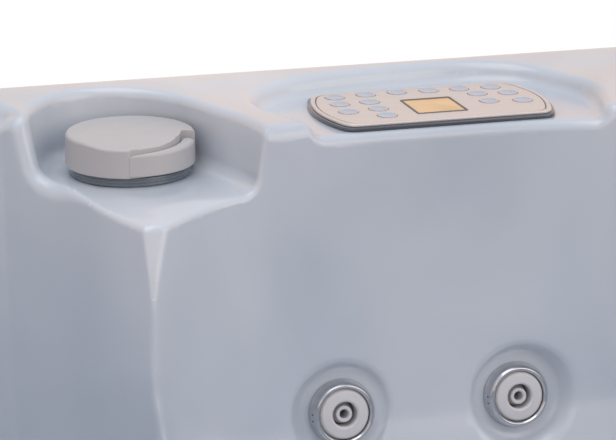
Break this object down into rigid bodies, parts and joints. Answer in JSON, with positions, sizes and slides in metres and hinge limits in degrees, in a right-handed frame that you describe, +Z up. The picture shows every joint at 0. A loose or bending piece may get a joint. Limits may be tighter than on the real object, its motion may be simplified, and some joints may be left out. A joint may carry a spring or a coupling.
{
  "type": "hot tub",
  "caption": "Square acrylic hot tub with bucket and corner seats, a turning diverter knob, a push-button control panel, swivelling jets, filter, pump and boarded cabinet.",
  "frame": {"origin": "centre of the footprint, at the underside of the base pan", "axes": "+Z up, +Y towards the side that carries the control panel and the diverter knob, +X towards the right as seen from inside facing that side"},
  "size_m": [2, 2, 0.9073],
  "materials": {
    "shell": "glossy pearl",
    "base": "moulded",
    "frame": "foamed board",
    "cabinet": "wood-grain composite",
    "corner": "wood-grain composite",
    "knob": "satin",
    "ring": "glossy",
    "pipework": "smooth",
    "rotor": "smooth",
    "panel_body": "glossy",
    "panel_face": "satin silver film",
    "display": "glossy",
    "button": "domed",
    "jet_trim": "polished",
    "jet_face": "fine texture",
    "motor": "painted",
    "pump": "moulded",
    "impeller": "moulded",
    "heater": "brushed",
    "control_box": "powder coat",
    "filter_trim": "satin",
    "cartridge": "pleated",
    "suction": "moulded",
    "light": "frosted",
    "drain": "moulded"
  },
  "bodies": {
    "tub": {"shell": "shell", "base_pan": "base", "frame_wall_back": "frame", "cabinet_panel_back": "cabinet", "frame_wall_left": "frame", "cabinet_panel_left": "cabinet", "frame_wall_front": "frame", "cabinet_panel_front": "cabinet", "frame_wall_right": "frame", "cabinet_panel_right": "cabinet", "corner_post_back_right": "corner", "corner_post_back_left": "corner", "corner_post_front_left": "corner", "corner_post_front_right": "corner", "diverter_ring": "ring", "diverter_valve": "pipework", "panel_housing": "panel_body", "panel_overlay": "panel_face", "display_window": "display", "jet_body_left": "pipework", "jet_escutcheon_left": "jet_trim", "jet_body_right": "pipework", "jet_escutcheon_right": "jet_trim", "pump_motor": "motor", "pump_wet_end": "pump", "heater": "heater", "control_box": "control_box", "suction_pipe": "pipework", "pressure_pipe": "pipework", "feed_pipe": "pipework", "filter_well": "pipework", "filter_cartridge": "cartridge", "suction_cover": "suction", "light_lens": "light"},
    "knob": {"diverter_knob": "knob", "diverter_grip": "knob", "diverter_rotor": "rotor"},
    "jet_face_left": {"jet_face_left": "jet_face"},
    "jet_nozzle_left": {"jet_nozzle_left": "jet_face"},
    "jet_face_right": {"jet_face_right": "jet_face"},
    "jet_nozzle_right": {"jet_nozzle_right": "jet_face"},
    "impeller": {"pump_impeller": "impeller"},
    "weir": {"filter_weir": "filter_trim"},
    "lid": {"filter_lid": "filter_trim"},
    "drain": {"drain_valve": "drain"},
    "button_01": {"button_01": "button"},
    "button_02": {"button_02": "button"},
    "button_03": {"button_03": "button"},
    "button_04": {"button_04": "button"},
    "button_05": {"button_05": "button"},
    "button_06": {"button_06": "button"},
    "button_07": {"button_07": "button"},
    "button_08": {"button_08": "button"},
    "button_09": {"button_09": "button"},
    "button_10": {"button_10": "button"},
    "button_11": {"button_11": "button"},
    "button_12": {"button_12": "button"},
    "button_13": {"button_13": "button"},
    "button_14": {"button_14": "button"},
    "button_15": {"button_15": "button"}
  },
  "joints": [
    {"name": "knob_turn", "type": "hinge", "parent": "tub", "child": "knob", "pos_m": [-0.245, 0.873, 0.8486], "axis": [0, 0, 1], "range_deg": [-90, 90]},
    {"name": "jet_face_left_turn", "type": "hinge", "parent": "tub", "child": "jet_face_left", "pos_m": [-0.078, 0.77596, 0.62916], "axis": [0, -0.9903, 0.1392], "range_deg": [0, 120]},
    {"name": "jet_nozzle_left_tilt", "type": "hinge", "parent": "jet_face_left", "child": "jet_nozzle_left", "pos_m": [-0.078, 0.77933, 0.62869], "axis": [1, 0, 0], "range_deg": [-12, 12]},
    {"name": "jet_face_right_turn", "type": "hinge", "parent": "tub", "child": "jet_face_right", "pos_m": [0.088, 0.77596, 0.62916], "axis": [0, -0.9903, 0.1392], "range_deg": [0, 120]},
    {"name": "jet_nozzle_right_tilt", "type": "hinge", "parent": "jet_face_right", "child": "jet_nozzle_right", "pos_m": [0.088, 0.77933, 0.62869], "axis": [1, 0, 0], "range_deg": [-12, 12]},
    {"name": "impeller_spin", "type": "hinge", "parent": "tub", "child": "impeller", "pos_m": [-0.1357, -0.68, 0.144], "axis": [1, 0, 0], "continuous": true},
    {"name": "weir_swing", "type": "hinge", "parent": "tub", "child": "weir", "pos_m": [-0.8095, 0, 0.7663], "axis": [0, -1, 0], "range_deg": [0, 75]},
    {"name": "lid_turn", "type": "hinge", "parent": "tub", "child": "lid", "pos_m": [-0.88, 0, 0.9], "axis": [0, 0, 1], "range_deg": [0, 45]},
    {"name": "drain_turn", "type": "hinge", "parent": "tub", "child": "drain", "pos_m": [0.56, -0.96, 0.09], "axis": [0, -1, 0], "range_deg": [0, 90]},
    {"name": "button_01_press", "type": "slide", "parent": "tub", "child": "button_01", "axis": [0, 0, -1], "range_m": [0, 0.001], "stiffness_N_per_m": 300},
    {"name": "button_02_press", "type": "slide", "parent": "tub", "child": "button_02", "axis": [0, 0, -1], "range_m": [0, 0.001], "stiffness_N_per_m": 300},
    {"name": "button_03_press", "type": "slide", "parent": "tub", "child": "button_03", "axis": [0, 0, -1], "range_m": [0, 0.001], "stiffness_N_per_m": 300},
    {"name": "button_04_press", "type": "slide", "parent": "tub", "child": "button_04", "axis": [0, 0, -1], "range_m": [0, 0.001], "stiffness_N_per_m": 300},
    {"name": "button_05_press", "type": "slide", "parent": "tub", "child": "button_05", "axis": [0, 0, -1], "range_m": [0, 0.001], "stiffness_N_per_m": 300},
    {"name": "button_06_press", "type": "slide", "parent": "tub", "child": "button_06", "axis": [0, 0, -1], "range_m": [0, 0.001], "stiffness_N_per_m": 300},
    {"name": "button_07_press", "type": "slide", "parent": "tub", "child": "button_07", "axis": [0, 0, -1], "range_m": [0, 0.001], "stiffness_N_per_m": 300},
    {"name": "button_08_press", "type": "slide", "parent": "tub", "child": "button_08", "axis": [0, 0, -1], "range_m": [0, 0.001], "stiffness_N_per_m": 300},
    {"name": "button_09_press", "type": "slide", "parent": "tub", "child": "button_09", "axis": [0, 0, -1], "range_m": [0, 0.001], "stiffness_N_per_m": 300},
    {"name": "button_10_press", "type": "slide", "parent": "tub", "child": "button_10", "axis": [0, 0, -1], "range_m": [0, 0.001], "stiffness_N_per_m": 300},
    {"name": "button_11_press", "type": "slide", "parent": "tub", "child": "button_11", "axis": [0, 0, -1], "range_m": [0, 0.001], "stiffness_N_per_m": 300},
    {"name": "button_12_press", "type": "slide", "parent": "tub", "child": "button_12", "axis": [0, 0, -1], "range_m": [0, 0.001], "stiffness_N_per_m": 300},
    {"name": "button_13_press", "type": "slide", "parent": "tub", "child": "button_13", "axis": [0, 0, -1], "range_m": [0, 0.001], "stiffness_N_per_m": 300},
    {"name": "button_14_press", "type": "slide", "parent": "tub", "child": "button_14", "axis": [0, 0, -1], "range_m": [0, 0.001], "stiffness_N_per_m": 300},
    {"name": "button_15_press", "type": "slide", "parent": "tub", "child": "button_15", "axis": [0, 0, -1], "range_m": [0, 0.001], "stiffness_N_per_m": 300}
  ]
}
